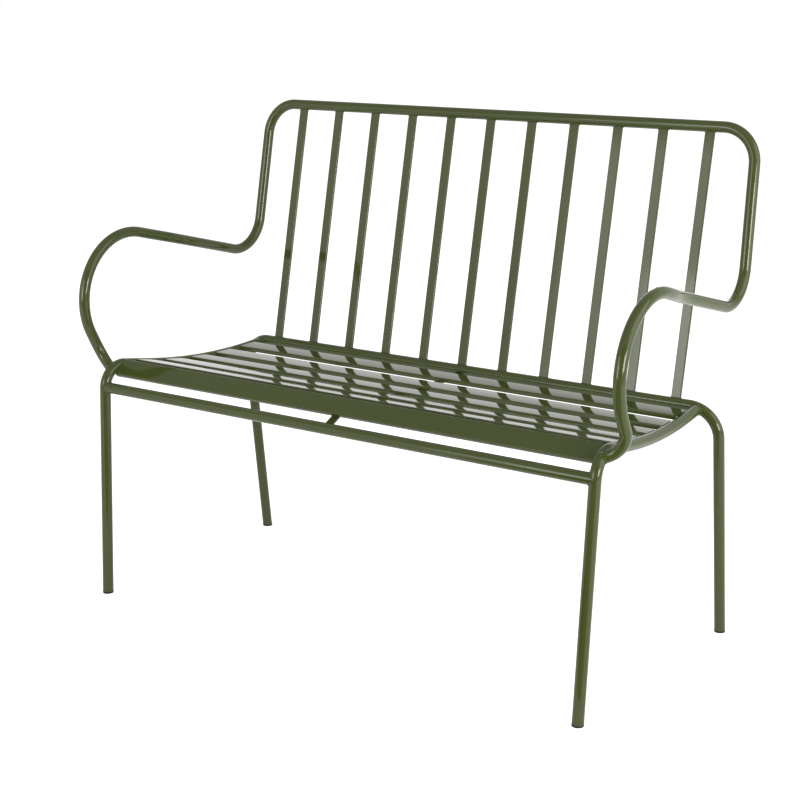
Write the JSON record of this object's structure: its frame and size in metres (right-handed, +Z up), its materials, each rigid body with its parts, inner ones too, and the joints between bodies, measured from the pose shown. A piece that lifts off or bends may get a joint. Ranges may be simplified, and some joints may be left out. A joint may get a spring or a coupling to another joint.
{
  "type": "garden bench",
  "caption": "Garden bench of bent steel tube with looped arms, a slatted sheet seat dipped in the middle and a back of upright flat bars.",
  "frame": {"origin": "on the floor, in the middle of the bench's width and depth", "axes": "+X to the right seen from the front, +Y from the front to the back, +Z up"},
  "size_m": [1.1226, 0.5458, 0.9014],
  "materials": {
    "paint": "glossy olive green powder coat",
    "plug_plastic": "matte black"
  },
  "bodies": {
    "root": {"back_arm_loop": "paint", "rear_leg_frame": "paint", "front_leg_left": "paint", "front_leg_right": "paint", "front_stretcher": "paint", "front_slat": "paint", "seat_slat_1": "paint", "seat_slat_2": "paint", "seat_slat_3": "paint", "seat_slat_4": "paint", "seat_slat_5": "paint", "back_bar_1": "paint", "back_bar_2": "paint", "back_bar_3": "paint", "back_bar_4": "paint", "back_bar_5": "paint", "back_bar_6": "paint", "back_bar_7": "paint", "back_bar_8": "paint", "back_bar_9": "paint", "back_bar_10": "paint", "back_bar_11": "paint", "seat_strap": "paint", "arm_weld_left": "paint", "arm_weld_right": "paint", "stretcher_weld_left": "paint", "stretcher_weld_right": "paint", "rail_weld_left": "paint", "rail_weld_right": "paint", "front_plug_left": "plug_plastic", "front_plug_right": "plug_plastic", "rear_plug_left": "plug_plastic", "rear_plug_right": "plug_plastic"}
  },
  "joints": []
}
